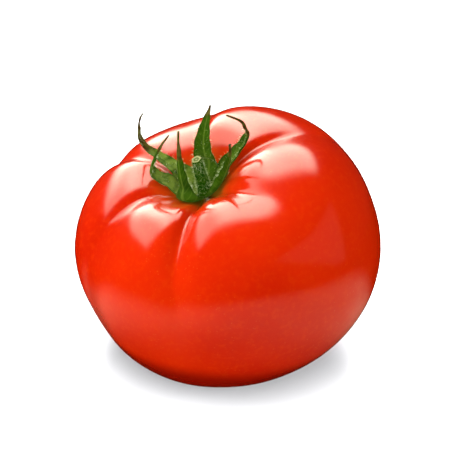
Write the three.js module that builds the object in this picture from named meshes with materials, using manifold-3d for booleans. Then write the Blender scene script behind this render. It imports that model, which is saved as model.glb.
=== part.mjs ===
// A ripe ribbed tomato with its green calyx and a cut stem, lying on a small flat spot.
// Millimetres, +Z up. Every shape is made about the fruit's own axis, with the stem end on top
// and azimuth 0 along +X. One leaning group then sets the tomato down on the surface z = 0.

import * as THREE from "three";
import { mergeVertices } from "three/addons/utils/BufferGeometryUtils.js";
import Module from "manifold-3d";

const wasm = await Module();
wasm.setup();

// Fruit: its width, and the heights of the two halves above and below its widest ring.
// A larger fullness makes flatter shoulders, and a larger roundness a squarer flank.
const FRUIT_WIDTH = 85;
const SHOULDER = { height: 33.3, fullness: 3.19, roundness: 2.58 };
const BASE = { height: 35.4, fullness: 2.06, roundness: 2.28 };
const OVAL_SHARE = 0.036;
const OVAL_AZIMUTH = -18;

// The hollow that the calyx sits in
const CAVITY_DEPTH = 11;
const CAVITY_RADIUS = 11.5;

// Furrows between the lobes: azimuth and half width in degrees, depth in millimetres, the angle from the
// stem end at which each one fades out, how far its top end bends aside in degrees, how round its floor
// is, and by what power of e one side is wider than the other
const FURROWS = [
  { azimuth: 12, depth: 3.1, width: 12.9, end: 56, bend: -9, softness: 0.25, skew: -0.46 },
  { azimuth: 78, depth: 2.7, width: 12, end: 50, bend: 4, softness: 0.72, skew: 0.47 },
  { azimuth: 136.5, depth: 2.7, width: 7.6, end: 65, bend: -8.5, softness: 0.54, skew: -0.17 },
  { azimuth: 198, depth: 2.7, width: 9, end: 74, bend: -15.5, softness: 1, skew: 0.38 },
  { azimuth: 251, depth: 4, width: 9.9, end: 56, bend: 14, softness: 0.32, skew: 0.37 },
  { azimuth: 315, depth: 4.3, width: 10.3, end: 37.5, bend: -3.5, softness: 0.92, skew: -0.17 },
];
const FURROW_FADE = 9;
const FURROW_START = 12;
const FURROW_STEEPNESS = 1.3;
const FURROW_BEND_REACH = 30;
const FURROW_SIDE_BLEND = 0.3;

// Lobes that stand out, or lie lower, between the furrows: azimuth in degrees and swell in millimetres
const LOBES = [
  { azimuth: 46, swell: 0.4 },
  { azimuth: 100, swell: -1 },
  { azimuth: 171, swell: -0.35 },
  { azimuth: 229, swell: -0.5 },
  { azimuth: 292, swell: 0.5 },
  { azimuth: 347, swell: 1.8 },
];
const LOBE_POLAR = 49;
const LOBE_WIDTH = 24;

// Small dents in the flank: polar angle, azimuth and half sizes in degrees, depth in millimetres
const DENTS = [
  { polar: 75, azimuth: 249, reach: 26, width: 7, depth: 0.7 },
  { polar: 84, azimuth: 200, reach: 12, width: 8, depth: 0.5 },
];

// How the fruit lies: its lean to the front and to the left, and where its centre stands when the
// middle of the flat spot is at the origin
const LEAN_FRONT = 17.1;
const LEAN_LEFT = 19.5;
const CENTRE = new THREE.Vector3(6.2, 4, 35.6);

// Calyx: the bowl that the sepals grow from, and the clearance kept between pieces
const CALYX_HEIGHT = 22.4;
const BOWL_RADIUS = 6.4;
const BOWL_THICKNESS = 0.9;
const BOWL_STEPS = 4;
const CALYX_CLEARANCE = 0.55;
const GAP = 0.3;

// Sepals: each midrib runs through points given as [distance out from the axis, height above the calyx's
// level] in the upright plane at its azimuth. Taper is the power by which the width runs out to the tip,
// curl the angle in degrees that the blade rolls through at its root and at its tip, and twist the angle
// by which it turns about its midrib.
const SEPALS = [
  {
    azimuth: 55,
    width: 11.2,
    taper: 0.8,
    curl: [50, 80],
    twist: 0,
    midrib: [[1.5, 1.3], [4.4, 2.6], [6.6, 5.8], [8.1, 10.6], [10.9, 13.8], [13.4, 15.6], [17, 17.9]],
  },
  {
    azimuth: 130,
    width: 6,
    taper: 1.2,
    curl: [40, 200],
    twist: 0,
    midrib: [
      [1.5, 1.1], [4.2, 2.4], [7, 6], [13.4, 8.8], [17.5, 10], [19.6, 12.2], [19.2, 15.6], [15, 22.4],
      [11.5, 26],
    ],
  },
  {
    azimuth: 160,
    width: 6,
    taper: 0.6,
    curl: [40, 110],
    twist: 0,
    midrib: [
      [1.5, 1.1], [4.3, 2.4], [7.9, 5.2], [11, 7.4], [12.1, 9.5], [11.3, 11.9], [6.6, 18], [2, 22.2],
    ],
  },
  {
    azimuth: 235,
    width: 6.6,
    taper: 0.95,
    curl: [60, 120],
    twist: 0,
    midrib: [[1.5, 1.1], [4.4, 2.4], [6, 4.6], [5, 10.4], [2.7, 15.8], [0.6, 19.2], [-1.5, 22.2]],
  },
  {
    azimuth: 330,
    width: 6.4,
    taper: 0.9,
    curl: [60, 110],
    twist: -35,
    midrib: [[1.5, 1.1], [4.5, 2.85], [7.8, 5.7], [10.4, 8.8], [12.4, 12], [14.5, 15.9], [15.8, 19.5]],
  },
  {
    azimuth: 8,
    width: 9.5,
    taper: 1,
    curl: [50, 180],
    twist: 0,
    midrib: [
      [1.5, 1.2], [4.8, 3], [8.7, 5.6], [14.3, 9], [18, 12.4], [18.1, 14.6], [17.8, 17.6], [14.5, 21.6],
    ],
  },
];
const TWIST_LENGTH = 0.35;
const SEPAL_ROOT_SHARE = 0.75;
const SEPAL_ROOT_LENGTH = 0.25;
const SEPAL_TIP_WIDTH = 0.8;
const SEPAL_THICKNESS = 0.8;

// Stem: from its foot in the bowl to its cut end, above the calyx's level
const STEM_FOOT = new THREE.Vector3(0.8, -0.3, 2.2);
const STEM_END = new THREE.Vector3(2.3, 0.2, 12);
const STEM_FOOT_RADIUS = 2.3;
const STEM_END_RADIUS = 1.35;
const STEM_TAPER_POWER = 0.6;
const STEM_RIBS = 5;
const STEM_RIB_SHARE = 0.07;
const SOCKET_DEPTH = 1.4;

// Mesh resolution
const FRUIT_SEGMENTS = 96;
const FRUIT_RINGS = 48;
const SEPAL_STEPS = 18;
const BOWL_SEGMENTS = 24;
const STEM_SEGMENTS = 20;
const STEM_STEPS = 6;

// Finishes
const SKIN = { color: 0xd82210, roughness: 0.2 };
const LEAF = { color: 0x3f7a1e, roughness: 0.55 };
const STALK = { color: 0x356b1c, roughness: 0.6 };

const radians = THREE.MathUtils.degToRad;
const degrees = THREE.MathUtils.radToDeg;

// A closed geometry as a solid: shared vertices are merged and triangles that collapsed are dropped.
function solidOf(geometry) {
  const bare = geometry.clone();
  bare.deleteAttribute("normal");
  bare.deleteAttribute("uv");
  const merged = mergeVertices(bare);
  const corners = merged.index.array;
  const triVerts = [];
  for (let i = 0; i < corners.length; i += 3) {
    const [a, b, c] = corners.slice(i, i + 3);
    if (a !== b && b !== c && c !== a) triVerts.push(a, b, c);
  }
  return new wasm.Manifold(
    new wasm.Mesh({
      numProp: 3,
      vertProperties: new Float32Array(merged.attributes.position.array),
      triVerts: new Uint32Array(triVerts),
    }),
  );
}

function geometryOf(solid) {
  const mesh = solid.getMesh();
  const geometry = new THREE.BufferGeometry();
  geometry.setAttribute("position", new THREE.BufferAttribute(mesh.vertProperties, 3));
  geometry.setIndex(new THREE.BufferAttribute(mesh.triVerts, 1));
  geometry.computeVertexNormals();
  return geometry;
}

// Height of the plain fruit, without its furrows, at a polar angle and a distance from the axis.
function plainHeight(polar, distance) {
  const above = polar < Math.PI / 2;
  const half = above ? SHOULDER : BASE;
  const height = half.height * (1 - Math.sin(polar) ** half.fullness) ** (1 / half.roundness);
  if (!above) return -height;
  return height - CAVITY_DEPTH * Math.exp(-((distance / CAVITY_RADIUS) ** 2));
}

// The angle from centre to azimuth, from -180 to 180 degrees.
function turnFrom(azimuth, centre) {
  return THREE.MathUtils.euclideanModulo(azimuth - centre + 180, 360) - 180;
}

// How far the furrows press the skin in, at angles in degrees.
function furrowDepth(polar, azimuth) {
  const start = 1 - Math.exp(-((polar / FURROW_START) ** 2));
  let depth = 0;
  for (const furrow of FURROWS) {
    const centre = furrow.azimuth + furrow.bend * Math.exp(-((polar / FURROW_BEND_REACH) ** 2));
    const even = turnFrom(azimuth, centre) / furrow.width;
    const turn = even * Math.exp(-furrow.skew * Math.tanh(even / FURROW_SIDE_BLEND));
    const across = Math.hypot(turn, furrow.softness) - furrow.softness;
    const fade = 1 / (1 + Math.exp((polar - furrow.end) / FURROW_FADE));
    depth += furrow.depth * Math.exp(-FURROW_STEEPNESS * across) * fade * start;
  }
  return depth;
}

// How far the lobes swell out, at angles in degrees.
function lobeHeight(polar, azimuth) {
  const along = (polar - LOBE_POLAR) / LOBE_WIDTH;
  let height = 0;
  for (const lobe of LOBES) {
    const across = turnFrom(azimuth, lobe.azimuth) / LOBE_WIDTH;
    height += lobe.swell * Math.exp(-(across ** 2) - along ** 2);
  }
  return height;
}

// How far the small dents press the skin in, at angles in degrees.
function dentDepth(polar, azimuth) {
  let depth = 0;
  for (const dent of DENTS) {
    const across = turnFrom(azimuth, dent.azimuth) / dent.width;
    const along = (polar - dent.polar) / dent.reach;
    depth += dent.depth * Math.exp(-(across ** 2) - along ** 2);
  }
  return depth;
}

// A point of the skin, about the fruit's axis. Furrows and dents are pressed in towards the centre,
// lobes out.
function skinPoint(polar, azimuth) {
  const oval = 1 + OVAL_SHARE * Math.cos(2 * (azimuth - radians(OVAL_AZIMUTH)));
  const distance = (FRUIT_WIDTH / 2) * Math.sin(polar) * oval;
  const point = new THREE.Vector3(
    distance * Math.cos(azimuth),
    distance * Math.sin(azimuth),
    plainHeight(polar, distance),
  );
  const angles = [degrees(polar), degrees(azimuth)];
  const press = furrowDepth(...angles) + dentDepth(...angles) - lobeHeight(...angles);
  return point.multiplyScalar(1 - press / point.length());
}

// The surface that the fruit lies on, turned into the fruit's frame, as a block to cut with.
function surfaceBlock() {
  const size = 2 * FRUIT_WIDTH;
  const block = new THREE.BoxGeometry(size, size, size);
  block.translate(0, 0, -size / 2 - CENTRE.z);
  block.applyQuaternion(leanTurn().invert());
  return solidOf(block);
}

function leanTurn() {
  const front = new THREE.Quaternion().setFromAxisAngle(new THREE.Vector3(1, 0, 0), radians(LEAN_FRONT));
  const left = new THREE.Quaternion().setFromAxisAngle(new THREE.Vector3(0, 1, 0), radians(-LEAN_LEFT));
  return left.multiply(front);
}

function fruitGeometry() {
  const geometry = new THREE.SphereGeometry(1, FRUIT_SEGMENTS, FRUIT_RINGS);
  geometry.rotateX(Math.PI / 2);
  const position = geometry.attributes.position;
  const direction = new THREE.Vector3();
  for (let i = 0; i < position.count; i++) {
    direction.fromBufferAttribute(position, i).normalize();
    const polar = Math.acos(THREE.MathUtils.clamp(direction.z, -1, 1));
    position.setXYZ(i, ...skinPoint(polar, Math.atan2(direction.y, direction.x)));
  }
  return geometryOf(solidOf(geometry).subtract(surfaceBlock()));
}

// Height of the cavity's floor above the calyx's own level, at a distance from the axis.
function cavityFloor(distance) {
  return plainHeight(Math.asin(distance / (FRUIT_WIDTH / 2)), distance) - CALYX_HEIGHT;
}

// The bowl follows the floor of the cavity.
function bowlGeometry() {
  const under = [];
  const over = [];
  for (let i = 0; i <= BOWL_STEPS; i++) {
    const distance = (BOWL_RADIUS * i) / BOWL_STEPS;
    const height = cavityFloor(distance) + CALYX_CLEARANCE;
    under.push(new THREE.Vector2(distance, height));
    over.unshift(new THREE.Vector2(distance, height + BOWL_THICKNESS));
  }
  return new THREE.LatheGeometry([...under, ...over], BOWL_SEGMENTS).rotateX(Math.PI / 2);
}

// One sepal: a thin rolled blade lofted along its midrib. Each section has three points on the upper
// face and three on the lower, and both faces are split along the same diagonals.
function sepalGeometry({ azimuth, width, taper, curl, twist, midrib }) {
  const curve = new THREE.SplineCurve(midrib.map(([out, up]) => new THREE.Vector2(out, up)));
  const section = [[-1, 1], [0, 1], [1, 1], [1, -1], [0, -1], [-1, -1]];
  const points = [];
  for (let step = 0; step <= SEPAL_STEPS; step++) {
    const along = step / SEPAL_STEPS;
    const centre = curve.getPointAt(along);
    const tangent = curve.getTangentAt(along);
    const root = THREE.MathUtils.lerp(SEPAL_ROOT_SHARE, 1, Math.min(1, along / SEPAL_ROOT_LENGTH));
    const span = Math.max(SEPAL_TIP_WIDTH, width * root * (1 - along) ** taper);
    const roll = radians(THREE.MathUtils.lerp(...curl, along));
    const twistTurn = radians(twist) * THREE.MathUtils.smoothstep(along, 0, TWIST_LENGTH);
    for (const [side, face] of section) {
      const turn = (roll * side) / 2;
      const lift = (span / roll) * (1 - Math.cos(turn)) + (face * SEPAL_THICKNESS) / 2;
      const corner = new THREE.Vector2((-span / roll) * Math.sin(turn), lift);
      corner.rotateAround(new THREE.Vector2(), twistTurn);
      const out = centre.x - tangent.y * corner.y;
      const up = centre.y + tangent.x * corner.y;
      points.push(new THREE.Vector3(out, corner.x, up));
    }
  }
  const geometry = new THREE.BufferGeometry().setFromPoints(points);
  geometry.setIndex(bladeTriangles(section.length, SEPAL_STEPS));
  return geometry.rotateZ(radians(azimuth));
}

// Triangles of a blade whose sections have `sides` points each, the first half on the upper face.
function bladeTriangles(sides, steps) {
  const index = [];
  for (let step = 0; step < steps; step++) {
    for (let k = 0; k < sides; k++) {
      const a = step * sides + k;
      const b = step * sides + ((k + 1) % sides);
      const [c, d] = [b + sides, a + sides];
      if (k < sides / 2) index.push(a, b, c, a, c, d);
      else index.push(a, b, d, b, c, d);
    }
  }
  const last = steps * sides;
  for (let k = 0; k < sides / 2 - 1; k++) {
    const [a, b, c, d] = [k, k + 1, sides - 2 - k, sides - 1 - k];
    index.push(a, c, b, a, d, c);
    index.push(last + a, last + b, last + c, last + a, last + c, last + d);
  }
  return index;
}

// The notch that leaves the gap around the stem's foot, wide enough for the gap at its flats.
function stemSocket() {
  const flat = STEM_FOOT_RADIUS * (1 + STEM_RIB_SHARE) + GAP;
  const radius = flat / Math.cos(Math.PI / STEM_SEGMENTS);
  const socket = new THREE.CylinderGeometry(radius, radius, 2 * SOCKET_DEPTH, STEM_SEGMENTS);
  socket.rotateX(Math.PI / 2);
  socket.translate(STEM_FOOT.x, STEM_FOOT.y, STEM_FOOT.z - GAP + SOCKET_DEPTH);
  return solidOf(socket);
}

function calyxGeometry() {
  let solid = solidOf(bowlGeometry());
  for (const sepal of SEPALS) solid = solid.add(solidOf(sepalGeometry(sepal)));
  return geometryOf(solid.subtract(stemSocket()));
}

// The stem narrows from a flared foot to its cut end, has low ribs, and leans.
function stemGeometry() {
  const length = STEM_END.z - STEM_FOOT.z;
  const geometry = new THREE.CylinderGeometry(1, 1, length, STEM_SEGMENTS, STEM_STEPS);
  geometry.rotateX(Math.PI / 2);
  const position = geometry.attributes.position;
  for (let i = 0; i < position.count; i++) {
    const [x, y, z] = [position.getX(i), position.getY(i), position.getZ(i)];
    const along = THREE.MathUtils.clamp(z / length + 0.5, 0, 1);
    const radius = THREE.MathUtils.lerp(STEM_FOOT_RADIUS, STEM_END_RADIUS, along ** STEM_TAPER_POWER);
    const rib = 1 + STEM_RIB_SHARE * Math.cos(STEM_RIBS * Math.atan2(y, x));
    const axis = STEM_FOOT.clone().lerp(STEM_END, along);
    position.setXYZ(i, axis.x + x * radius * rib, axis.y + y * radius * rib, axis.z);
  }
  return geometryOf(solidOf(geometry));
}

function piece(name, geometry, finish) {
  const material = new THREE.MeshStandardMaterial(finish);
  const mesh = new THREE.Mesh(geometry, material);
  mesh.name = name;
  return mesh;
}

const tomato = new THREE.Group();
tomato.quaternion.copy(leanTurn());
tomato.position.copy(CENTRE);

const greenTop = new THREE.Group();
greenTop.position.z = CALYX_HEIGHT;
greenTop.add(piece("calyx", calyxGeometry(), LEAF));
greenTop.add(piece("stem", stemGeometry(), STALK));

tomato.add(piece("fruit", fruitGeometry(), SKIN));
tomato.add(greenTop);

const part = new THREE.Group();
part.add(tomato);

export default part;
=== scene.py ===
# Looks of a ripe ribbed tomato with its green calyx and a cut stem, lying on a small flat spot.
# Blender works in metres, +Z up. Shapes are worked out in millimetres about the fruit's own axis,
# with the stem end on top and azimuth 0 along +X, then leaned and set down on the surface z = 0.

import math
import random
from typing import NamedTuple

import bpy
import numpy as np
from mathutils import Matrix, Vector, noise


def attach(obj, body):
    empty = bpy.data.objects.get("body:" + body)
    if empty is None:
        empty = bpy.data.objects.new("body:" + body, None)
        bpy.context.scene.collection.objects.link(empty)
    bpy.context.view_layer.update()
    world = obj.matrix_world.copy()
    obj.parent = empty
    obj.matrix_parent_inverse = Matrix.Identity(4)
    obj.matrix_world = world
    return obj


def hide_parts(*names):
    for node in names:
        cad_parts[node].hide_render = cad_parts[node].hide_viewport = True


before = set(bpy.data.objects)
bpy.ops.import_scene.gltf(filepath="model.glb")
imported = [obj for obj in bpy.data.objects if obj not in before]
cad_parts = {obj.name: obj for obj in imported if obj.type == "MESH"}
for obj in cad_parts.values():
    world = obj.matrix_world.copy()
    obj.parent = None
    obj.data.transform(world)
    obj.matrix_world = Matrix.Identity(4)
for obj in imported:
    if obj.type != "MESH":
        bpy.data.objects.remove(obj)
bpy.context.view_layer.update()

MM = 0.001
BODY = "root"

# Fruit, in millimetres: the two halves above and below its widest ring, the oval of its plan and
# the hollow of the stem end
FRUIT_RADIUS = 42.5
SHOULDER = {"height": 33.3, "fullness": 3.19, "roundness": 2.58}
BASE = {"height": 35.4, "fullness": 2.06, "roundness": 2.28}
OVAL_SHARE = 0.036
OVAL_AZIMUTH = -18
CAVITY_DEPTH = 11
CAVITY_RADIUS = 11.5

# Furrows: azimuth and half width in degrees, depth in millimetres, the angle from the stem end at
# which each one fades out, how far its top end bends aside in degrees, how round its floor is, and
# by what power of e one side is wider than the other
FURROWS = [
    {
        "azimuth": 12, "width": 12.9, "depth": 3.1, "end": 56,
        "bend": -9, "softness": 0.25, "skew": -0.46,
    },
    {
        "azimuth": 78, "width": 12, "depth": 2.7, "end": 50,
        "bend": 4, "softness": 0.72, "skew": 0.47,
    },
    {
        "azimuth": 136.5, "width": 7.6, "depth": 2.7, "end": 65,
        "bend": -8.5, "softness": 0.54, "skew": -0.17,
    },
    {
        "azimuth": 198, "width": 9, "depth": 2.7, "end": 74,
        "bend": -15.5, "softness": 1.0, "skew": 0.38,
    },
    {
        "azimuth": 251, "width": 9.9, "depth": 4, "end": 56,
        "bend": 14, "softness": 0.32, "skew": 0.37,
    },
    {
        "azimuth": 315, "width": 10.3, "depth": 4.3, "end": 37.5,
        "bend": -3.5, "softness": 0.92, "skew": -0.17,
    },
]
FURROW_FADE = 9
FURROW_START = 12
FURROW_STEEPNESS = 1.3
FURROW_BEND_REACH = 30
FURROW_SIDE_BLEND = 0.3

# Lobes that stand out, or lie lower, between the furrows: azimuth in degrees, swell in millimetres
LOBES = [
    {"azimuth": 46, "swell": 0.4},
    {"azimuth": 100, "swell": -1.0},
    {"azimuth": 171, "swell": -0.35},
    {"azimuth": 229, "swell": -0.5},
    {"azimuth": 292, "swell": 0.5},
    {"azimuth": 347, "swell": 1.8},
]
LOBE_POLAR = 49
LOBE_WIDTH = 24

# Small dents in the skin: polar angle, azimuth and half sizes in degrees, depth in millimetres
DENTS = [
    {"polar": 75, "azimuth": 249, "reach": 26, "width": 7, "depth": 0.7},
    {"polar": 84, "azimuth": 200, "reach": 12, "width": 8, "depth": 0.5},
]

# Fine waves of the skin, and the dimple of the scar at the blossom end
WAVE_HEIGHT = 0.16
WAVE_LENGTH = 17
SCAR_ANGLE = 3.2
SCAR_DEPTH = 0.5

# How the fruit lies: its two leans in degrees, and its middle in millimetres
LEAN_FRONT = 17.1
LEAN_LEFT = 19.5
CENTRE = (6.2, 4, 35.6)

# Calyx, in millimetres: its level on the fruit's axis, the bowl that the sepals grow from, and how
# far out from the bowl the sepals are webbed together
CALYX_HEIGHT = 22
BOWL_INNER_RADIUS = 1.2
BOWL_FLOOR = 0.8
BOWL_RISE = 0.075
WEB_END = 5.8
WEB_BLEND = 4.2
WEB_ROUNDING = 0.75

# Sepals: each midrib runs through points given as (distance out from the axis, height above the
# calyx's level) in the upright plane at its azimuth. Taper is the power by which the width runs out
# to the tip, curl the angle in degrees that the blade rolls through at its root and tip, twist the
# angle by which it turns about its midrib, dry the share of its length where it browns, and pale
# the share of its pale bloom.
SEPALS = [
    {
        "azimuth": 55, "width": 11.2, "taper": 0.8, "curl": (50, 80), "twist": 0,
        "dry": 0.9, "pale": 0.15,
        "midrib": [
            (1.5, 1), (4.4, 2), (6.6, 6), (8.1, 11), (10.9, 14.2), (13.4, 16), (17, 18.3),
        ],
    },
    {
        "azimuth": 130, "width": 6, "taper": 1.2, "curl": (40, 200), "twist": 0,
        "dry": 0.5, "pale": 0.8,
        "midrib": [
            (1.5, 1), (4.2, 2.2), (7, 6.4), (13.4, 9.2), (17.5, 10.4), (19.6, 12.6), (19.2, 16),
            (15, 22.8), (11.5, 26.4),
        ],
    },
    {
        "azimuth": 160, "width": 6, "taper": 0.6, "curl": (40, 110), "twist": 0,
        "dry": 0.8, "pale": 1,
        "midrib": [
            (1.5, 1), (4.3, 2), (7.9, 5.6), (11, 7.8), (12.1, 9.9), (11.3, 12.3), (6.6, 18.4),
            (2, 22.6),
        ],
    },
    {
        "azimuth": 235, "width": 6.6, "taper": 0.95, "curl": (60, 120), "twist": 0,
        "dry": 0.72, "pale": 0.2,
        "midrib": [
            (1.5, 0.9), (4.4, 1.8), (6, 4.8), (5, 10.8), (2.7, 16.2), (0.6, 19.6), (-1.5, 22.6),
        ],
    },
    {
        "azimuth": 330, "width": 6.4, "taper": 0.9, "curl": (60, 110), "twist": -35,
        "dry": 0.85, "pale": 0.3,
        "midrib": [
            (1.5, 0.9), (4.5, 1.9), (7.8, 5.7), (10.4, 9.2), (12.4, 12.4), (14.5, 16.3),
            (15.8, 19.9),
        ],
    },
    {
        "azimuth": 8, "width": 9.5, "taper": 1, "curl": (50, 180), "twist": 0,
        "dry": 0.7, "pale": 0.3,
        "midrib": [
            (1.5, 1), (4.8, 2.1), (8.7, 5.6), (14.3, 9.4), (18, 12.8), (18.1, 15), (17.8, 18),
            (14.5, 22),
        ],
    },
]
TWIST_LENGTH = 0.35
SEPAL_TIP_WIDTH = 0.7
SEPAL_THICKNESS = 0.6
SEPAL_EDGE_SHARE = 0.45
SEPAL_TIP_THINNING = 0.35
EDGE_WAVE_HEIGHT = 0.22
EDGE_WAVES = 7
DRY_FADE = (-0.18, 0.12)
WELD_DISTANCE = 0.02

# Stem, in millimetres above the calyx's level. The rings of its cut end are given as the share of
# the radius and the rise.
STEM_FOOT = (0.8, -0.3, 1.0)
STEM_END = (2.3, 0.2, 12.4)
STEM_FOOT_RADIUS = 2.3
STEM_END_RADIUS = 1.35
STEM_TAPER_POWER = 0.6
STEM_RIBS = 5
STEM_RIB_SHARE = 0.07
STEM_CUT_RINGS = [
    (0.93, 0.06), (0.8, 0.03), (0.6, -0.05), (0.4, -0.1), (0.2, -0.06), (0.03, -0.08),
]

# Hairs, in millimetres, with how many grow on the stem and on the margins and the face of a sepal,
# and between which shares of the stem and rows of a sepal they grow
HAIR_RADIUS = 0.035
HAIR_LENGTHS = (0.4, 1.1)
HAIR_LEAN = 0.55
HAIR_SEED = 7
STEM_HAIRS = 700
STEM_HAIR_REACH = (0.08, 0.97)
SEPAL_HAIRS = 100
MARGIN_HAIR_ROWS = (12, 32)
FACE_HAIR_ROWS = (2, 32)

# Mesh resolution
FRUIT_SEGMENTS = 360
FRUIT_RINGS = 180
SEPAL_ROWS = 44
SEPAL_COLUMNS = 10
SPLINE_SAMPLES = 40
STEM_SEGMENTS = 60
STEM_ROWS = 26


def lean_matrix():
    """The turn and place that set the tomato down, in millimetres."""
    left = Matrix.Rotation(math.radians(-LEAN_LEFT), 4, "Y")
    front = Matrix.Rotation(math.radians(LEAN_FRONT), 4, "X")
    return Matrix.Translation(CENTRE) @ left @ front


LEAN = np.array(lean_matrix())


def set_down(points):
    """Points about the fruit's axis, turned and moved to where the tomato lies, in millimetres."""
    return points @ LEAN[:3, :3].T + LEAN[:3, 3]


def make_piece(name, points, faces, attributes, materials):
    """A mesh object from points in millimetres, with one float per point for each attribute."""
    mesh = bpy.data.meshes.new(name)
    mesh.from_pydata((np.asarray(points) * MM).tolist(), [], faces)
    for key, values in attributes.items():
        layer = mesh.attributes.new(key, "FLOAT", "POINT")
        layer.data.foreach_set("value", np.asarray(values, np.float32))
    for material in materials:
        mesh.materials.append(material)
    mesh.shade_smooth()
    made = bpy.data.objects.new(name, mesh)
    bpy.context.scene.collection.objects.link(made)
    return made


def smoothstep(low, high, value):
    """A share that eases from 0 at low to 1 at high."""
    share = np.clip((value - low) / (high - low), 0, 1)
    return share * share * (3 - 2 * share)


def ring_turns(count):
    """The angles in radians of points spaced evenly round a ring."""
    return np.arange(count) * 2 * math.pi / count


# Fruit


def half_height(half, sine):
    """Height of one half of the fruit over its widest ring, by the sine of the polar angle."""
    fall = np.clip(1 - sine ** half["fullness"], 0, 1)
    return half["height"] * fall ** (1 / half["roundness"])


def plain_height(polar, distance):
    """Height of the fruit without furrows, by polar angle in degrees and distance from the axis."""
    sine = np.sin(np.radians(polar))
    cavity = CAVITY_DEPTH * np.exp(-((distance / CAVITY_RADIUS) ** 2))
    return np.where(polar < 90, half_height(SHOULDER, sine) - cavity, -half_height(BASE, sine))


def turn_from(azimuth, centre):
    """The angle from centre to azimuth, from -180 to 180 degrees."""
    return (azimuth - centre + 180) % 360 - 180


def furrow_depth(polar, azimuth):
    """How far the furrows press the skin in, in millimetres, at angles in degrees."""
    start = 1 - np.exp(-((polar / FURROW_START) ** 2))
    depth = np.zeros_like(polar)
    for furrow in FURROWS:
        bend = furrow["bend"] * np.exp(-((polar / FURROW_BEND_REACH) ** 2))
        turn = turn_from(azimuth, furrow["azimuth"] + bend) / furrow["width"]
        turn *= np.exp(-furrow["skew"] * np.tanh(turn / FURROW_SIDE_BLEND))
        across = np.hypot(turn, furrow["softness"]) - furrow["softness"]
        fade = 1 / (1 + np.exp((polar - furrow["end"]) / FURROW_FADE))
        depth += furrow["depth"] * np.exp(-FURROW_STEEPNESS * across) * fade * start
    return depth


def lobe_height(polar, azimuth):
    """How far the lobes swell out, in millimetres, at angles in degrees."""
    height = np.zeros_like(polar)
    for lobe in LOBES:
        across = turn_from(azimuth, lobe["azimuth"]) / LOBE_WIDTH
        along = (polar - LOBE_POLAR) / LOBE_WIDTH
        height += lobe["swell"] * np.exp(-(across**2) - along**2)
    return height


def dent_depth(polar, azimuth):
    """How far the small dents press the skin in, in millimetres, at angles in degrees."""
    depth = np.zeros_like(polar)
    for dent in DENTS:
        across = turn_from(azimuth, dent["azimuth"]) / dent["width"]
        along = (polar - dent["polar"]) / dent["reach"]
        depth += dent["depth"] * np.exp(-(across**2) - along**2)
    return depth


def skin_points(polar, azimuth):
    """Points of the skin about the fruit's axis, at angles in degrees."""
    turn = np.radians(azimuth)
    oval = 1 + OVAL_SHARE * np.cos(2 * (turn - math.radians(OVAL_AZIMUTH)))
    distance = FRUIT_RADIUS * np.sin(np.radians(polar)) * oval
    height = plain_height(polar, distance)
    points = np.stack([distance * np.cos(turn), distance * np.sin(turn), height], axis=-1)
    scar = SCAR_DEPTH * np.exp(-(((180 - polar) / SCAR_ANGLE) ** 2))
    wave = np.array([noise.noise(Vector(p) / WAVE_LENGTH) for p in points]) * WAVE_HEIGHT
    press = furrow_depth(polar, azimuth) - lobe_height(polar, azimuth)
    press = press + dent_depth(polar, azimuth) + scar + wave
    return points * (1 - press / np.linalg.norm(points, axis=-1))[:, None]


def ring_faces(rows, columns):
    """Quads between rows of points, each row a closed ring of columns."""
    faces = []
    for row in range(rows - 1):
        for column in range(columns):
            a = row * columns + column
            b = row * columns + (column + 1) % columns
            faces.append((a, a + columns, b + columns, b))
    return faces


def build_fruit(material):
    ring_angles = np.linspace(0, 180, FRUIT_RINGS + 1)[1:-1]
    turns = np.arange(FRUIT_SEGMENTS) * 360 / FRUIT_SEGMENTS
    polar = np.concatenate([np.repeat(ring_angles, FRUIT_SEGMENTS), [0.0, 180.0]])
    azimuth = np.concatenate([np.tile(turns, len(ring_angles)), [0.0, 0.0]])
    points = set_down(skin_points(polar, azimuth))
    points[:, 2] = np.maximum(points[:, 2], 0)
    faces = ring_faces(len(ring_angles), FRUIT_SEGMENTS)
    top = len(ring_angles) * FRUIT_SEGMENTS
    last = top - FRUIT_SEGMENTS
    for column in range(FRUIT_SEGMENTS):
        beside = (column + 1) % FRUIT_SEGMENTS
        faces.append((top, column, beside))
        faces.append((top + 1, last + beside, last + column))
    return make_piece("fruit_skin", points, faces, {"polar": polar}, [material])


# Calyx


def spline(points, count):
    """Evenly spaced points along a Catmull-Rom curve through the given points, with their tangents
    and their distances along it."""
    ends = np.array([points[0], *points, points[-1]], float)
    dense = []
    for p0, p1, p2, p3 in zip(ends, ends[1:], ends[2:], ends[3:]):
        t = np.linspace(0, 1, SPLINE_SAMPLES, endpoint=False)[:, None]
        slope1, slope2 = (p2 - p0) / 2, (p3 - p1) / 2
        rise = (2 * p1 - 2 * p2 + slope1 + slope2) * t**3
        dense.append(rise + (-3 * p1 + 3 * p2 - 2 * slope1 - slope2) * t**2 + slope1 * t + p1)
    dense = np.concatenate([*dense, ends[-1:]])
    steps = np.linalg.norm(np.diff(dense, axis=0), axis=1)
    travelled = np.concatenate([[0], np.cumsum(steps)])
    even = np.linspace(0, travelled[-1], count)
    line = np.stack([np.interp(even, travelled, dense[:, k]) for k in range(2)], axis=-1)
    tangent = np.gradient(line, axis=0)
    return line, tangent / np.linalg.norm(tangent, axis=1)[:, None], even


def web_angles():
    """For each sepal, the angles in degrees from its midrib to where its neighbours begin."""
    order = sorted(range(len(SEPALS)), key=lambda i: SEPALS[i]["azimuth"])
    spans = {}
    for place_in_ring, i in enumerate(order):
        here = SEPALS[i]["azimuth"]
        before = SEPALS[order[place_in_ring - 1]]["azimuth"]
        after = SEPALS[order[(place_in_ring + 1) % len(order)]]["azimuth"]
        spans[i] = (((here - before) % 360) / 2, ((after - here) % 360) / 2)
    return spans


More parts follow.
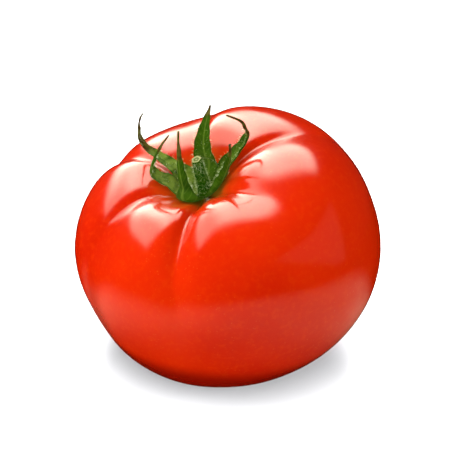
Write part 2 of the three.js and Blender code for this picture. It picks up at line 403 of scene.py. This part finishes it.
def sepal_blade(sepal, line, tangent, along, side, phase):
    """The free blade of a sepal as grids of x, y and height: it curls, waves and twists."""
    root_curl, tip_curl = sepal["curl"]
    curl = np.radians(root_curl + (tip_curl - root_curl) * along)
    span = np.maximum(SEPAL_TIP_WIDTH, sepal["width"] * (1 - along) ** sepal["taper"])
    sideways = span / curl * np.sin(curl * side / 2)
    lift = span / curl * (1 - np.cos(curl * side / 2))
    wave = np.sin(along * EDGE_WAVES * 2 * math.pi + phase + side) * EDGE_WAVE_HEIGHT
    lift = lift + wave * side**2 * np.sin(math.pi * along)
    twist = math.radians(sepal["twist"]) * smoothstep(0, TWIST_LENGTH, along)
    sideways, lift = (
        sideways * np.cos(twist) - lift * np.sin(twist),
        sideways * np.sin(twist) + lift * np.cos(twist),
    )
    out = line[:, :1] - tangent[:, 1:] * lift
    up = line[:, 1:] + tangent[:, :1] * lift
    turn = np.radians(sepal["azimuth"])
    x = out * np.cos(turn) - sideways * np.sin(turn)
    y = out * np.sin(turn) + sideways * np.cos(turn)
    return x, y, up


def sepal_bowl(sepal, travelled, side, spans):
    """The sepal's sector of the bowl as grids of x, y and height."""
    span_before, span_after = spans
    fan = np.radians(sepal["azimuth"] + side * np.where(side < 0, span_before, span_after))
    distance = BOWL_INNER_RADIUS + travelled[:, None]
    return distance * np.cos(fan), distance * np.sin(fan), BOWL_FLOOR + BOWL_RISE * distance**2


def sepal_sheet(sepal, spans, phase):
    """Rows of points across one sepal, from the bowl to the tip, with its attributes."""
    line, tangent, travelled = spline(sepal["midrib"], SEPAL_ROWS)
    side = np.linspace(-1, 1, SEPAL_COLUMNS + 1)[None, :]
    along = (travelled / travelled[-1])[:, None] + 0 * side
    free = smoothstep(WEB_END, WEB_END + WEB_BLEND, travelled)[:, None]
    free = free ** (1 - WEB_ROUNDING * side**2)
    bowl = sepal_bowl(sepal, travelled, side, spans)
    blade = sepal_blade(sepal, line, tangent, along, side, phase)
    grid = np.stack([low + (high - low) * free for low, high in zip(bowl, blade)], axis=-1)
    edge_share = 1 - (1 - SEPAL_EDGE_SHARE) * side**2
    values = {
        "along": along,
        "across": side + 0 * along,
        "dry": smoothstep(sepal["dry"] + DRY_FADE[0], sepal["dry"] + DRY_FADE[1], along),
        "pale": sepal["pale"] + 0 * along,
        "thick": edge_share * (1 - SEPAL_TIP_THINNING * along),
    }
    return grid, {key: value.ravel() for key, value in values.items()}


def sepal_sheets():
    """The sheet of every sepal, about the fruit's axis."""
    spans = web_angles()
    sheets = []
    for i, sepal in enumerate(SEPALS):
        grid, values = sepal_sheet(sepal, spans[i], phase=i)
        sheets.append((grid + (0, 0, CALYX_HEIGHT), values))
    return sheets


def build_calyx(sheets, upper_material, lower_material):
    points, faces, values = [], [], []
    width = SEPAL_COLUMNS + 1
    for i, (grid, sheet_values) in enumerate(sheets):
        first = i * SEPAL_ROWS * width
        points.append(grid.reshape(-1, 3))
        values.append(sheet_values)
        for row in range(SEPAL_ROWS - 1):
            for column in range(SEPAL_COLUMNS):
                a = first + row * width + column
                faces.append((a, a + width, a + width + 1, a + 1))
    points = set_down(np.concatenate(points))
    attributes = {key: np.concatenate([one[key] for one in values]) for key in values[0]}
    thick = attributes.pop("thick")
    calyx = make_piece("sepals", points, faces, attributes, [upper_material, lower_material])
    thickness = calyx.vertex_groups.new(name="thickness")
    for i, share in enumerate(thick):
        thickness.add([i], float(share), "REPLACE")
    weld = calyx.modifiers.new("weld", "WELD")
    weld.merge_threshold = WELD_DISTANCE * MM
    solidify = calyx.modifiers.new("blade", "SOLIDIFY")
    solidify.thickness = SEPAL_THICKNESS * MM
    solidify.offset = 0
    solidify.vertex_group = thickness.name
    solidify.use_even_offset = False
    solidify.material_offset = 1
    smooth = calyx.modifiers.new("smooth", "SUBSURF")
    smooth.levels = smooth.render_levels = 1
    return calyx


# Stem


def stem_ring(along, turn):
    """The middle of the stem at a share of its length, and its radius at angles in radians."""
    foot, end = np.array(STEM_FOOT, float), np.array(STEM_END, float)
    radius = STEM_FOOT_RADIUS + (STEM_END_RADIUS - STEM_FOOT_RADIUS) * along**STEM_TAPER_POWER
    return foot + (end - foot) * along, radius * (1 + STEM_RIB_SHARE * np.cos(STEM_RIBS * turn))


def build_stem(material):
    """The ribbed stub: rings up its side, then rings inwards over its cut end."""
    turn = ring_turns(STEM_SEGMENTS)
    rings = [(along, 1.0, 0.0, 0.0) for along in np.linspace(0, 1, STEM_ROWS)]
    rings += [(1.0, share, rise, 1.0) for share, rise in STEM_CUT_RINGS]
    points, ring_values, cut_values = [], [], []
    for along, share, rise, cut in rings:
        axis, radius = stem_ring(along, turn)
        circle = np.stack([np.cos(turn), np.sin(turn)], axis=-1) * (radius * share)[:, None]
        height = np.full(STEM_SEGMENTS, axis[2] + rise)
        points.append(np.column_stack([axis[0] + circle[:, 0], axis[1] + circle[:, 1], height]))
        ring_values += [share] * STEM_SEGMENTS
        cut_values += [cut] * STEM_SEGMENTS
    points = np.concatenate(points)
    points[:, 2] += CALYX_HEIGHT
    faces = [tuple(reversed(face)) for face in ring_faces(len(rings), STEM_SEGMENTS)]
    last = (len(rings) - 1) * STEM_SEGMENTS
    faces.append(tuple(range(last, last + STEM_SEGMENTS)))
    faces.append(tuple(reversed(range(STEM_SEGMENTS))))
    attributes = {"ring": ring_values, "cut": cut_values}
    return make_piece("stem_stub", set_down(points), faces, attributes, [material])


# Hairs


def build_hairs(name, roots, ways, material):
    """Fine three-sided hairs that grow from the roots, each along its way with a random lean."""
    draw = random.Random(HAIR_SEED)
    points, faces = [], []
    for root, way in zip(roots, ways):
        lean = Vector([draw.uniform(-HAIR_LEAN, HAIR_LEAN) for _ in range(3)])
        way = (Vector(way).normalized() + lean).normalized()
        side = way.orthogonal().normalized() * HAIR_RADIUS
        first = len(points)
        for turn in ring_turns(3):
            points.append(Vector(root) + Matrix.Rotation(turn, 3, way) @ side)
        points.append(Vector(root) + way * draw.uniform(*HAIR_LENGTHS))
        a, b, c, tip = range(first, first + 4)
        faces += [(a, b, tip), (b, c, tip), (c, a, tip), (c, b, a)]
    return make_piece(name, set_down(np.array(points)), faces, {}, [material])


def build_stem_hairs(material):
    draw = random.Random(HAIR_SEED)
    roots, ways = [], []
    for _ in range(STEM_HAIRS):
        turn = draw.uniform(0, 2 * math.pi)
        axis, radius = stem_ring(draw.uniform(*STEM_HAIR_REACH), turn)
        way = Vector((math.cos(turn), math.sin(turn), 0))
        roots.append(Vector(axis) + way * radius + Vector((0, 0, CALYX_HEIGHT)))
        ways.append(way)
    return build_hairs("stem_hairs", roots, ways, material)


def build_sepal_hairs(sheets, material):
    """Hairs along both margins of every sepal, and thinly over the face towards the stem."""
    draw = random.Random(HAIR_SEED)
    roots, ways = [], []
    for grid, _ in sheets:
        for _ in range(SEPAL_HAIRS):
            row = draw.randrange(*MARGIN_HAIR_ROWS)
            edge, inner = draw.choice(((0, 1), (SEPAL_COLUMNS, SEPAL_COLUMNS - 1)))
            slide = draw.random()
            roots.append(grid[row, edge] * slide + grid[row + 1, edge] * (1 - slide))
            ways.append(grid[row, edge] - grid[row, inner])
        for _ in range(SEPAL_HAIRS):
            row = draw.randrange(*FACE_HAIR_ROWS)
            column = draw.randrange(1, SEPAL_COLUMNS)
            here = grid[row, column]
            roots.append(here)
            ways.append(np.cross(grid[row + 1, column] - here, grid[row, column + 1] - here))
    return build_hairs("sepal_hairs", roots, ways, material)


# Materials


class Pattern(NamedTuple):
    """Noise over a surface: its repeats per metre, its detail, and the two noise values between
    which a share runs from the first to the second of its shares."""

    scale: float
    detail: float
    values: tuple = (0, 1)
    shares: tuple = (0, 1)


NOISE_MIDDLE = 0.5

# Places of the colour sockets on the mixing node
MIX_INPUTS = (6, 7)
MIX_OUTPUT = 2

# Colours, as linear red, green and blue
SCARLET = (0.50, 0.015, 0.0005)
DEEP_RED = (0.42, 0.009, 0.0005)
ORANGE_RED = (0.54, 0.03, 0.001)
ORANGE = (0.52, 0.075, 0.004)
# Painted shade: a deeper red for the underside, for the shadow near the floor
PAINTED_UNDERSIDE_SHADE = (0.22, 0.0045, 0.0005)
# Olive of the stem end, also painted contact shade under the calyx cup
OLIVE_AND_CONTACT_SHADE = (0.20, 0.11, 0.008)
GOLD = (0.70, 0.20, 0.06)
CORK = (0.16, 0.09, 0.04)
LEAF_GREEN = (0.021, 0.058, 0.0008)
LEAF_DARK = (0.009, 0.031, 0.0006)
LEAF_PALE = (0.15, 0.215, 0.028)
DRY_BROWN = (0.035, 0.018, 0.004)
DRY_OLIVE = (0.08, 0.07, 0.01)
STEM_GREEN = (0.008, 0.04, 0.001)
CREAM = (0.3, 0.31, 0.12)
PITH_GREEN = (0.06, 0.09, 0.015)
HAIR_PALE = (0.55, 0.62, 0.34)
BLACK = (0, 0, 0)

# Skin. The tints at the stem end and the cork of the scar run between two polar angles in degrees,
# the tints also between two shares; the olive tint is also painted contact shade under the cup.
# Painted shade deepens the underside between two heights in millimetres, for the shadow near the
# floor.
SKIN_SHADES = Pattern(30, 2, (0.35, 0.7))
SKIN_MOTTLE = Pattern(700, 4, (0.45, 0.75), (0, 0.35))
SPECK_PATCHES = Pattern(45, 2, (0.42, 0.62))
SPECK_SCALE = 800
SPECK_EDGE = (0.18, 0.06)
SPECK_SHARE = 0.16
TINT_RAGGEDNESS = Pattern(160, 3)
TINT_RAGGED_ANGLE = 14
ORANGE_TINT = (22, 10, 0, 0.5)
OLIVE_AND_SHADE_TINT = (13, 7, 0, 0.8)
PAINTED_SHADE_HEIGHTS = (17.5, 10.5)
SCAR_EDGE = (176, 178)
SKIN_ROUGHNESS = Pattern(240, 3, (0.3, 0.7), (0.13, 0.18))
SKIN_SHADER = {
    "IOR": 1.42,
    "Subsurface Weight": 0.15,
    "Subsurface Radius": (1.0, 0.25, 0.1),
    "Subsurface Scale": 2.5 * MM,
}
SKIN_GRAIN = Pattern(1300, 2)
SKIN_BUMP = {"strength": 0.06, "distance": 0.1}

# Sepals. The rib and the dark margin run between shares of the half width, and the bloom fades
# between shares of the length. The side veins are counted over the whole length.
LEAF_SHADES = Pattern(260, 3, (0.3, 0.7))
VEINS = 16
VEIN_SLANT = 1.6
VEIN_HALF_STEP = 0.5
VEIN_EDGE = (0.12, 0.02)
VEIN_SHARE = 0.5
RIB_EDGE = (0.16, 0.04)
LINE_SHARE = 0.3
BLOOM = Pattern(450, 3, (0.22, 0.65))
BLOOM_FADE = (0.75, 0.3)
UPPER_BLOOM_SHARE = 1.0
LOWER_BLOOM_SHARE = 0.4
MARGIN_SHADE = (0.75, 1, 0, 0.5)
DRY_RAGGEDNESS = Pattern(600, 3)
DRY_RAGGED_SHARE = 0.7
DRY_EDGE = (0.3, 0.75)
DRY_SHADES = Pattern(900, 3, (0.35, 0.7))
LEAF_ROUGHNESS = Pattern(700, 2, (0.3, 0.7), (0.45, 0.6))
LEAF_SHADER = {"Specular IOR Level": 0.03}
LEAF_GRAIN = Pattern(1500, 3)
LEAF_BUMP = {"strength": 0.35, "distance": 0.15}

# Stem. The two parts of the cut end run between shares of the radius.
STEM_SHADES = Pattern(500, 3, (0.35, 0.7))
STEM_FUZZ = Pattern(1400, 3, (0.55, 0.8), (0, 0.5))
PITH_EDGE = (0.75, 0.5)
PITH_MIDDLE = (0.35, 0.1, 0, 0.7)
STEM_SHADER = {"Roughness": 0.55, "Specular IOR Level": 0.03}
STEM_GRAIN = Pattern(1600, 3)
STEM_BUMP = {"strength": 0.3, "distance": 0.12}

# Hairs
HAIR_SHADES = Pattern(900, 2, (0.35, 0.65))
HAIR_SHADER = {"Roughness": 0.5, "Specular IOR Level": 0.2}


def put(tree, socket, value):
    """Links value to the socket if it is an output, and sets it otherwise."""
    if isinstance(value, bpy.types.NodeSocket):
        tree.links.new(value, socket)
    elif isinstance(value, tuple) and socket.type == "RGBA":
        socket.default_value = (*value, 1)
    else:
        socket.default_value = value


def new_material(name, constants):
    """A material with its node tree and its shader, on which the constants are set."""
    material = bpy.data.materials.new(name)
    material.use_nodes = True
    shader = material.node_tree.nodes["Principled BSDF"]
    for key, value in constants.items():
        put(material.node_tree, shader.inputs[key], value)
    return material, material.node_tree, shader


def attribute(tree, name):
    made = tree.nodes.new("ShaderNodeAttribute")
    made.attribute_name = name
    return made.outputs["Fac"]


def place(tree):
    """The place of a point in the piece's own frame, in metres."""
    return tree.nodes.new("ShaderNodeTexCoord").outputs["Object"]


def place_axes(tree):
    """The three coordinates of a point in the piece's own frame, in metres."""
    made = tree.nodes.new("ShaderNodeSeparateXYZ")
    put(tree, made.inputs[0], place(tree))
    return made.outputs["X"], made.outputs["Y"], made.outputs["Z"]


def grain(tree, pattern):
    """The noise value of a pattern, from 0 to 1."""
    made = tree.nodes.new("ShaderNodeTexNoise")
    put(tree, made.inputs["Vector"], place(tree))
    made.inputs["Scale"].default_value = pattern.scale
    made.inputs["Detail"].default_value = pattern.detail
    return made.outputs["Fac"]


def spread(tree, pattern):
    """The share of a pattern, which follows its noise."""
    return between(tree, grain(tree, pattern), *pattern.values, *pattern.shares)


def wander(tree, value, pattern, width):
    """The value, moved up and down by the noise of a pattern over the given width."""
    swing = calc(tree, "SUBTRACT", grain(tree, pattern), NOISE_MIDDLE)
    return calc(tree, "ADD", value, product(tree, swing, width))


def cells(tree, scale):
    """The distance to the nearest of scattered points, in cell widths."""
    made = tree.nodes.new("ShaderNodeTexVoronoi")
    put(tree, made.inputs["Vector"], place(tree))
    made.inputs["Scale"].default_value = scale
    return made.outputs["Distance"]


def calc(tree, operation, a, b=0.0):
    made = tree.nodes.new("ShaderNodeMath")
    made.operation = operation
    put(tree, made.inputs[0], a)
    put(tree, made.inputs[1], b)
    return made.outputs[0]


def product(tree, first, *others):
    for other in others:
        first = calc(tree, "MULTIPLY", first, other)
    return first


def between(tree, value, low, high, to_low=0.0, to_high=1.0):
    """Maps value from low..high to to_low..to_high, smoothly and held at the ends."""
    made = tree.nodes.new("ShaderNodeMapRange")
    made.interpolation_type = "SMOOTHSTEP"
    put(tree, made.inputs["Value"], value)
    limits = {"From Min": low, "From Max": high, "To Min": to_low, "To Max": to_high}
    for key, number in limits.items():
        made.inputs[key].default_value = number
    return made.outputs["Result"]


def between_mm(tree, value, edge, shares=(0, 1)):
    """Maps a length over an edge given in millimetres to the shares, in the same way."""
    return between(tree, value, edge[0] * MM, edge[1] * MM, *shares)


def mix(tree, share, a, b):
    """The colour a where the share is 0, and b where it is 1."""
    made = tree.nodes.new("ShaderNodeMix")
    made.data_type = "RGBA"
    put(tree, made.inputs["Factor"], share)
    for index, colour in zip(MIX_INPUTS, (a, b)):
        put(tree, made.inputs[index], colour)
    return made.outputs[MIX_OUTPUT]


def bump(tree, shader, height, strength, distance):
    """Fine relief of the surface, with the distance in millimetres."""
    made = tree.nodes.new("ShaderNodeBump")
    made.inputs["Strength"].default_value = strength
    made.inputs["Distance"].default_value = distance * MM
    put(tree, made.inputs["Height"], height)
    put(tree, shader.inputs["Normal"], made.outputs["Normal"])


def skin_material():
    """Mottled red with gold specks, orange and olive at the stem end; the olive is also painted
    contact shade under the cup, and painted shade deepens the underside.
    """
    material, tree, shader = new_material("tomato_skin", SKIN_SHADER)
    polar = attribute(tree, "polar")
    colour = mix(tree, spread(tree, SKIN_SHADES), SCARLET, DEEP_RED)
    colour = mix(tree, spread(tree, SKIN_MOTTLE), colour, ORANGE_RED)
    specks = between(tree, cells(tree, SPECK_SCALE), *SPECK_EDGE)
    specks = product(tree, specks, spread(tree, SPECK_PATCHES), SPECK_SHARE)
    colour = mix(tree, specks, colour, GOLD)
    near_stem = wander(tree, polar, TINT_RAGGEDNESS, TINT_RAGGED_ANGLE)
    colour = mix(tree, between(tree, near_stem, *ORANGE_TINT), colour, ORANGE)
    # Olive near the stem: partly the skin's own colour, partly painted contact shade under the cup
    colour = mix(tree, between(tree, near_stem, *OLIVE_AND_SHADE_TINT), colour, OLIVE_AND_CONTACT_SHADE)
    # Painted shade: the skin deepens towards the floor, standing in for the shadow near its contact
    height = place_axes(tree)[2]
    colour = mix(tree, between_mm(tree, height, PAINTED_SHADE_HEIGHTS), colour, PAINTED_UNDERSIDE_SHADE)
    colour = mix(tree, between(tree, polar, *SCAR_EDGE), colour, CORK)
    put(tree, shader.inputs["Base Color"], colour)
    put(tree, shader.inputs["Roughness"], spread(tree, SKIN_ROUGHNESS))
    bump(tree, shader, grain(tree, SKIN_GRAIN), **SKIN_BUMP)
    return material


def sepal_material(name, bloom_share):
    """A sepal's face: green with a paler midrib and veins, a pale bloom, darker margins and dry
    brown ends."""
    material, tree, shader = new_material(name, LEAF_SHADER)
    keys = ("along", "across", "dry", "pale")
    along, across, dry, pale = (attribute(tree, key) for key in keys)
    off_rib = calc(tree, "ABSOLUTE", across)
    colour = mix(tree, spread(tree, LEAF_SHADES), LEAF_GREEN, LEAF_DARK)
    slant = product(tree, off_rib, VEIN_SLANT)
    vein_phase = calc(tree, "SUBTRACT", product(tree, along, VEINS), slant)
    vein = between(tree, calc(tree, "PINGPONG", vein_phase, VEIN_HALF_STEP), *VEIN_EDGE)
    rib = between(tree, off_rib, *RIB_EDGE)
    lines = calc(tree, "MAXIMUM", rib, product(tree, vein, VEIN_SHARE))
    colour = mix(tree, product(tree, lines, LINE_SHARE), colour, LEAF_PALE)
    bloom = spread(tree, BLOOM._replace(shares=(0, bloom_share)))
    bloom = product(tree, pale, between(tree, along, *BLOOM_FADE), bloom)
    colour = mix(tree, bloom, colour, LEAF_PALE)
    colour = mix(tree, between(tree, off_rib, *MARGIN_SHADE), colour, LEAF_DARK)
    dried = between(tree, wander(tree, dry, DRY_RAGGEDNESS, DRY_RAGGED_SHARE), *DRY_EDGE)
    brown = mix(tree, spread(tree, DRY_SHADES), DRY_BROWN, DRY_OLIVE)
    put(tree, shader.inputs["Base Color"], mix(tree, dried, colour, brown))
    put(tree, shader.inputs["Roughness"], spread(tree, LEAF_ROUGHNESS))
    bump(tree, shader, calc(tree, "ADD", lines, grain(tree, LEAF_GRAIN)), **LEAF_BUMP)
    return material


def stem_material():
    """Green with pale fuzz on the side, and cream with a green ring on the cut end."""
    material, tree, shader = new_material("stem_green", STEM_SHADER)
    ring, cut = attribute(tree, "ring"), attribute(tree, "cut")
    colour = mix(tree, spread(tree, STEM_SHADES), STEM_GREEN, LEAF_GREEN)
    colour = mix(tree, spread(tree, STEM_FUZZ), colour, LEAF_PALE)
    pith = mix(tree, between(tree, ring, *PITH_EDGE), CREAM, PITH_GREEN)
    pith = mix(tree, between(tree, ring, *PITH_MIDDLE), pith, CREAM)
    put(tree, shader.inputs["Base Color"], mix(tree, cut, colour, pith))
    bump(tree, shader, grain(tree, STEM_GRAIN), **STEM_BUMP)
    return material


def hair_material():
    material, tree, shader = new_material("pale_hair", HAIR_SHADER)
    colour = mix(tree, spread(tree, HAIR_SHADES), HAIR_PALE, LEAF_PALE)
    put(tree, shader.inputs["Base Color"], colour)
    return material


# Stage

# Floor, and the sheet on it, in millimetres. The edges of the sheet run from dark to bright; the
# near one is a painted shadow under the tomato. The sheet's sides say where the soft edge on the
# left gives way to the sharp one on the right.
FLOOR_HALF = 450
FLOOR_DROP = 0.05
FLOOR_WHITE = (0.76, 0.755, 0.775)
FLOOR_GRAIN = Pattern(60, 2)
FLOOR_WEAR = 0.97
MATT_SHADER = {"Roughness": 0.9, "Specular IOR Level": 0.0}
SHEET_RADIUS = 230
SHEET_SEGMENTS = 96
SHEET_COLOUR = (0.25, 0.215, 0.15)
SHEET_PAINTED_SHADOW = (28, 80)
SHEET_SHARP_EDGE = (150, 115)
SHEET_SOFT_EDGE = (200, 50)
SHEET_SIDES = (-60, 50)
SHEET_BACK_EDGE = (35, -5)

# Softbox, in millimetres and degrees. Its edges run from dark to bright, and the step and the slope
# also between two shares. SOFTBOX_FAR is the depth over which the near left edge gives way to the
# far one, and the sides say where the left back edge gives way to the right one.
SOFTBOX_HEIGHT = 660
SOFTBOX_TURN = 13.7
SOFTBOX_STRENGTH = 12
SOFTBOX_COLOUR = (1, 0.97, 0.8)
SOFTBOX_RIGHT = (460, 300)
SOFTBOX_LEFT = (-1020, -850)
SOFTBOX_STEP = {"edge": (-460, -150), "shares": (0.42, 1)}
SOFTBOX_FAR_LEFT = (-1100, -250)
SOFTBOX_FAR = (450, 1300)
SOFTBOX_FRONT = (-70, 150)
SOFTBOX_BACK = {"left": (4500, 1200), "right": (2500, 330), "sides": (0, 130)}
SOFTBOX_SLOPE = {"edge": (150, -250), "shares": (0.8, 1.1)}

# Window pane on the right, in millimetres
WINDOW_CORNERS = [(1056, -113, 682), (1171, -11, -349), (536, -1065, 383)]
WINDOW_STRENGTH = 0.3

# Even lights on the tomato, with cone angles and turns in degrees
SKY_STRENGTH = 4.35
SKY_ANGLE = 178
SKY_TURN = 0
SIDE_STRENGTH = 4.9
SIDE_ANGLE = 120
SIDE_TURN = -80
UNDER_STRENGTH = 3.5
UNDER_TURN = 180

# Lights on the floor: a strip in millimetres and watts, and an even fill
FLOOR_LIGHT_PLACE = (5, -1050, 700)
FLOOR_LIGHT_SIZE = (416, 3554)
FLOOR_LIGHT_POWER = 58
FLOOR_FILL_STRENGTH = 1.5

# World: its light in the gloss and the shade, and the white that the camera sees behind the floor
WORLD_DIM = (0.01, 0.0102, 0.0105)
WORLD_WHITE = (1.1, 1.1, 1.1)


def floor_material():
    material, tree, shader = new_material("studio_floor", MATT_SHADER)
    worn = tuple(FLOOR_WEAR * channel for channel in FLOOR_WHITE)
    put(tree, shader.inputs["Base Color"], mix(tree, grain(tree, FLOOR_GRAIN), FLOOR_WHITE, worn))
    return material


def sheet_material():
    """A matt warm grey with a painted shadow that turns it black under the tomato; it also darkens
    behind and far from the tomato, sharply on the right alone."""
    material, tree, shader = new_material("studio_sheet", MATT_SHADER)
    x, y, _ = place_axes(tree)
    away = tree.nodes.new("ShaderNodeVectorMath")
    away.operation = "LENGTH"
    put(tree, away.inputs[0], place(tree))
    # Painted shadow: the sheet runs to black near the tomato, for the shade under it seen in the
    # gloss
    edges = (SHEET_PAINTED_SHADOW, SHEET_SHARP_EDGE, SHEET_SOFT_EDGE)
    near, sharp, soft = (between_mm(tree, away.outputs["Value"], edge) for edge in edges)
    right = between_mm(tree, x, SHEET_SIDES)
    front = between_mm(tree, y, SHEET_BACK_EDGE)
    far = product(tree, mix(tree, right, soft, sharp), front)
    colour = mix(tree, product(tree, near, far), BLACK, SHEET_COLOUR)
    put(tree, shader.inputs["Base Color"], colour)
    return material


def show_in_gloss_alone(piece):
    piece.visible_camera = piece.visible_diffuse = piece.visible_shadow = False


def build_floor():
    """A wide white floor, and a grey sheet on it that shows only in the gloss of the skin."""
    signs = ((-1, -1), (1, -1), (1, 1), (-1, 1))
    corners = [(x * FLOOR_HALF, y * FLOOR_HALF, -FLOOR_DROP) for x, y in signs]
    floor = make_piece("studio_floor", corners, [(0, 1, 2, 3)], {}, [floor_material()])
    floor.visible_glossy = floor.visible_diffuse = False
    turn = ring_turns(SHEET_SEGMENTS)
    level = np.full(SHEET_SEGMENTS, -FLOOR_DROP / 2)
    rim = np.column_stack([np.cos(turn) * SHEET_RADIUS, np.sin(turn) * SHEET_RADIUS, level])
    around = tuple(range(SHEET_SEGMENTS))
    sheet = make_piece("studio_sheet", rim, [around], {}, [sheet_material()])
    show_in_gloss_alone(sheet)
    return [floor, sheet]


def new_lamp(name, kind, energy, shadow, lit):
    """A light that falls on the lit pieces alone and does not show in the gloss."""
    data = bpy.data.lights.new(name, kind)
    data.energy = energy
    data.use_shadow = shadow
    data.cycles.use_multiple_importance_sampling = False
    lamp = bpy.data.objects.new(name, data)
    lamp.visible_glossy = False
    bpy.context.scene.collection.objects.link(lamp)
    receivers = bpy.data.collections.new(name + "_receivers")
    for piece in lit:
        receivers.objects.link(piece)
    lamp.light_linking.receiver_collection = receivers
    return lamp


def dome_light(name, strength, angle, turn, shadow, lit):
    """Even light from a wide cone of directions, turned from overhead about the depth axis."""
    lamp = new_lamp(name, "SUN", strength, shadow, lit)
    lamp.data.angle = math.radians(angle)
    lamp.rotation_euler.y = math.radians(turn)


def floor_light(lit):
    """A long strip overhead, from front to back, for the shadow under the tomato."""
    lamp = new_lamp("floor_strip", "AREA", FLOOR_LIGHT_POWER, True, lit)
    lamp.data.shape = "RECTANGLE"
    lamp.data.size, lamp.data.size_y = (side * MM for side in FLOOR_LIGHT_SIZE)
    lamp.location = Vector(FLOOR_LIGHT_PLACE) * MM


def softbox_material():
    """A soft glow with a crisp front and right edge, which steps down on its left and fades to the
    back."""
    material = bpy.data.materials.new("softbox_cloth")
    material.use_nodes = True
    tree = material.node_tree
    tree.nodes.clear()
    x, y, _ = place_axes(tree)
    step = between_mm(tree, x, **SOFTBOX_STEP)
    near_left = product(tree, between_mm(tree, x, SOFTBOX_LEFT), step)
    far_left = between_mm(tree, x, SOFTBOX_FAR_LEFT)
    left_back = between_mm(tree, y, SOFTBOX_BACK["left"])
    right_back = between_mm(tree, y, SOFTBOX_BACK["right"])
    strength = product(
        tree,
        SOFTBOX_STRENGTH,
        between_mm(tree, x, **SOFTBOX_SLOPE),
        between_mm(tree, x, SOFTBOX_RIGHT),
        between_mm(tree, y, SOFTBOX_FRONT),
        mix(tree, between_mm(tree, y, SOFTBOX_FAR), near_left, far_left),
        mix(tree, between_mm(tree, x, SOFTBOX_BACK["sides"]), left_back, right_back),
    )
    glow = tree.nodes.new("ShaderNodeEmission")
    put(tree, glow.inputs["Color"], SOFTBOX_COLOUR)
    put(tree, glow.inputs["Strength"], strength)
    output = tree.nodes.new("ShaderNodeOutputMaterial")
    put(tree, output.inputs["Surface"], glow.outputs["Emission"])
    return material


def build_softbox():
    """A large level panel overhead, seen only in the gloss."""
    left, right = SOFTBOX_FAR_LEFT[0], SOFTBOX_RIGHT[0]
    front, back = SOFTBOX_FRONT[0], SOFTBOX_BACK["left"][0]
    corners = [(left, front, 0), (left, back, 0), (right, back, 0), (right, front, 0)]
    softbox = make_piece("softbox", corners, [(0, 1, 2, 3)], {}, [softbox_material()])
    softbox.location.z = SOFTBOX_HEIGHT * MM
    softbox.rotation_euler.z = math.radians(SOFTBOX_TURN)
    show_in_gloss_alone(softbox)


def build_window():
    """A faint pale pane on the right, seen only in the gloss."""
    constants = {
        "Base Color": BLACK,
        "Emission Color": SOFTBOX_COLOUR,
        "Emission Strength": WINDOW_STRENGTH,
    }
    material = new_material("window_pane", constants)[0]
    pane = make_piece("window_pane", WINDOW_CORNERS, [(0, 1, 2)], {}, [material])
    show_in_gloss_alone(pane)


def build_lights(pieces, stage):
    build_softbox()
    build_window()
    dome_light("sky_dome", SKY_STRENGTH, SKY_ANGLE, SKY_TURN, True, pieces)
    dome_light("side_dome", SIDE_STRENGTH, SIDE_ANGLE, SIDE_TURN, True, pieces)
    dome_light("under_dome", UNDER_STRENGTH, SKY_ANGLE, UNDER_TURN, False, pieces)
    dome_light("floor_fill", FLOOR_FILL_STRENGTH, SKY_ANGLE, SKY_TURN, False, stage)
    floor_light(stage)

    world = bpy.data.worlds.new("studio")
    world.use_nodes = True
    tree = world.node_tree
    seen = tree.nodes.new("ShaderNodeLightPath").outputs["Is Camera Ray"]
    background = tree.nodes["Background"]
    put(tree, background.inputs["Color"], mix(tree, seen, WORLD_DIM, WORLD_WHITE))
    bpy.context.scene.world = world


# Camera, in degrees and millimetres: it faces the fruit's middle, then moves to its right and up

CAMERA_ELEVATION = 25
CAMERA_DISTANCE = 365
CAMERA_LENS = 100
CAMERA_RIGHT = -0.58
CAMERA_UP = 6.35


def build_camera():
    angle = math.radians(CAMERA_ELEVATION)
    back = Vector((0, -math.cos(angle), math.sin(angle)))
    right = Vector((1, 0, 0))
    up = Vector((0, math.sin(angle), math.cos(angle)))
    data = bpy.data.cameras.new("camera")
    data.lens = CAMERA_LENS
    camera = bpy.data.objects.new("camera", data)
    stand = Vector(CENTRE) + back * CAMERA_DISTANCE + right * CAMERA_RIGHT + up * CAMERA_UP
    camera.location = stand * MM
    camera.rotation_mode = "QUATERNION"
    camera.rotation_quaternion = (-back).to_track_quat("-Z", "Y")
    bpy.context.scene.collection.objects.link(camera)
    bpy.context.scene.camera = camera


def dress(piece, node=None):
    """The piece rides on the one body, and may stand for a solid, which it hides."""
    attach(piece, BODY)
    if node:
        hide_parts(node)


def main():
    bpy.context.scene.view_settings.view_transform = "Standard"
    fruit = build_fruit(skin_material())
    # The fruit casts no red light on the sepals and the floor
    fruit.visible_diffuse = False
    dress(fruit, "fruit")
    sheets = sepal_sheets()
    upper = sepal_material("sepal_upper", UPPER_BLOOM_SHARE)
    lower = sepal_material("sepal_lower", LOWER_BLOOM_SHARE)
    calyx = build_calyx(sheets, upper, lower)
    dress(calyx, "calyx")
    stem = build_stem(stem_material())
    dress(stem, "stem")
    hair = hair_material()
    stem_hairs = build_stem_hairs(hair)
    dress(stem_hairs)
    sepal_hairs = build_sepal_hairs(sheets, hair)
    dress(sepal_hairs)
    stage = build_floor()
    build_lights([fruit, calyx, stem, stem_hairs, sepal_hairs], stage)
    build_camera()


main()
